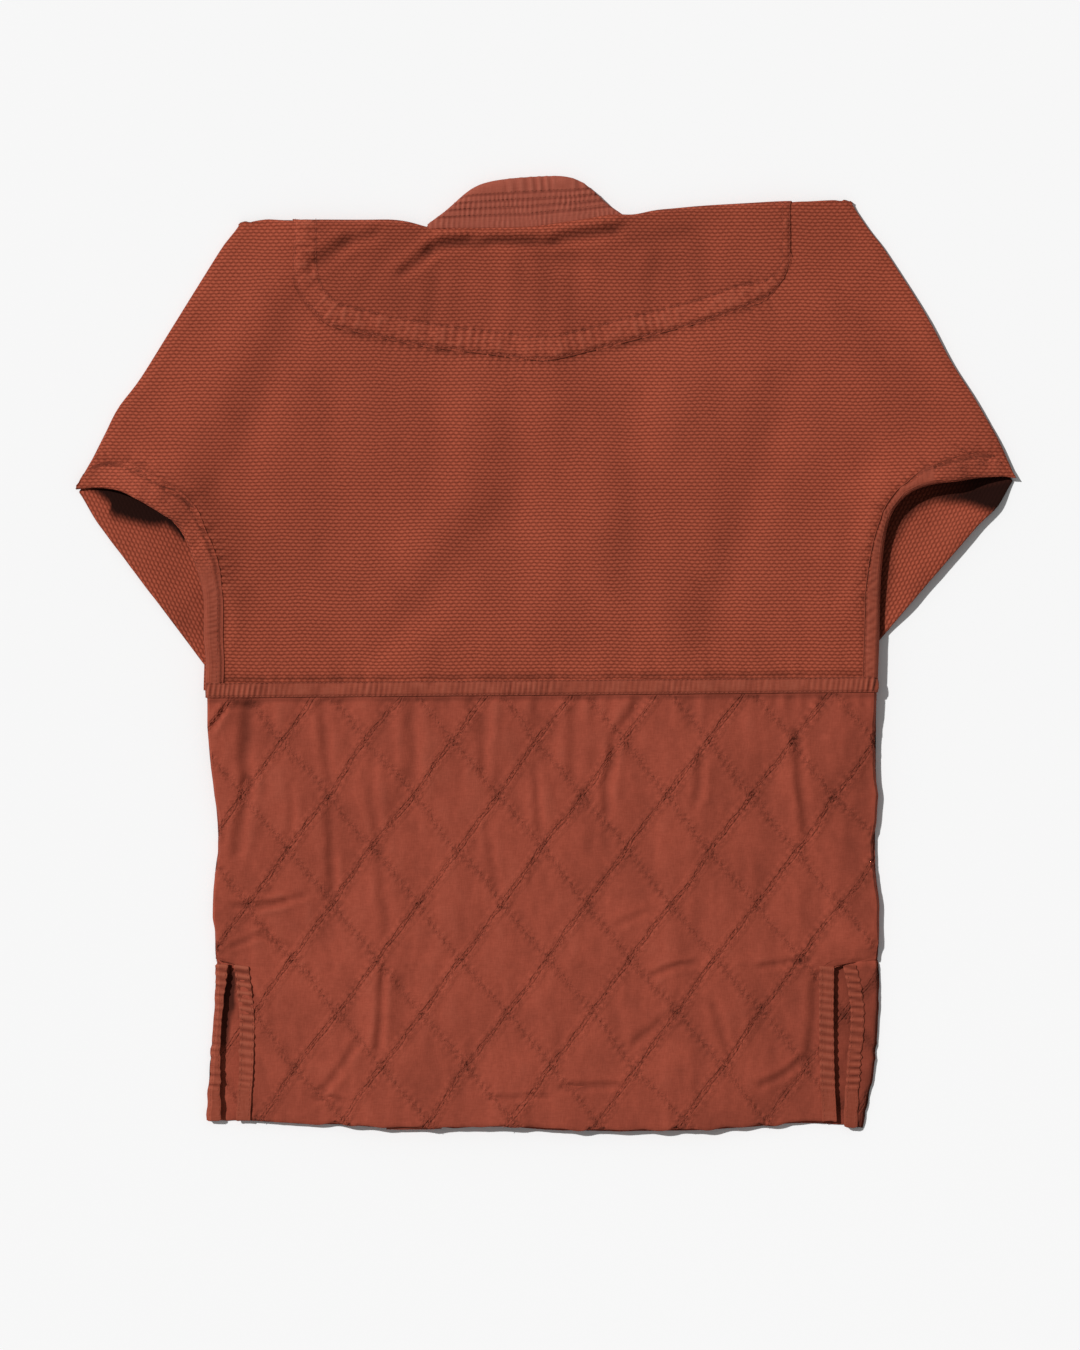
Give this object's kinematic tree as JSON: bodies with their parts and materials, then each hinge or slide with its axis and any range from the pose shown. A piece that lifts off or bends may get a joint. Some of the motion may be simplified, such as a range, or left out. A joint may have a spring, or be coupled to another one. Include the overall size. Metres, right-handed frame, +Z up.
{
  "type": "judo jacket",
  "caption": "Judo jacket laid flat on its front with sleeves folded under: woven upper back, shoulder patch, thick neckband and a diamond-quilted skirt with side vents.",
  "frame": {"origin": "on the floor under the middle of the outline of the laid-out jacket", "axes": "+Z up from the floor, out of the back's outer face; +Y from the hem towards the neckband; +X towards the wearer's right"},
  "size_m": [0.8682, 0.8797, 0.0225],
  "materials": {
    "rice_weave": "matt",
    "quilted_skirt": "matt",
    "band_cloth": "matt",
    "tape_cloth": "matt"
  },
  "bodies": {
    "root": {"sleeve_left": "rice_weave", "sleeve_right": "rice_weave", "front_left": "rice_weave", "front_right": "rice_weave", "lapel_left": "band_cloth", "lapel_right": "band_cloth", "upper_back": "rice_weave", "shoulder_patch": "rice_weave", "neckband": "band_cloth", "side_tape_left": "tape_cloth", "side_tape_right": "tape_cloth", "waist_tape": "tape_cloth", "skirt_front_left": "quilted_skirt", "skirt_front_right": "quilted_skirt", "vent_tape_front_left": "tape_cloth", "vent_tape_front_right": "tape_cloth", "skirt_back": "quilted_skirt", "vent_tape_back_left": "tape_cloth", "vent_tape_back_right": "tape_cloth"}
  },
  "joints": []
}
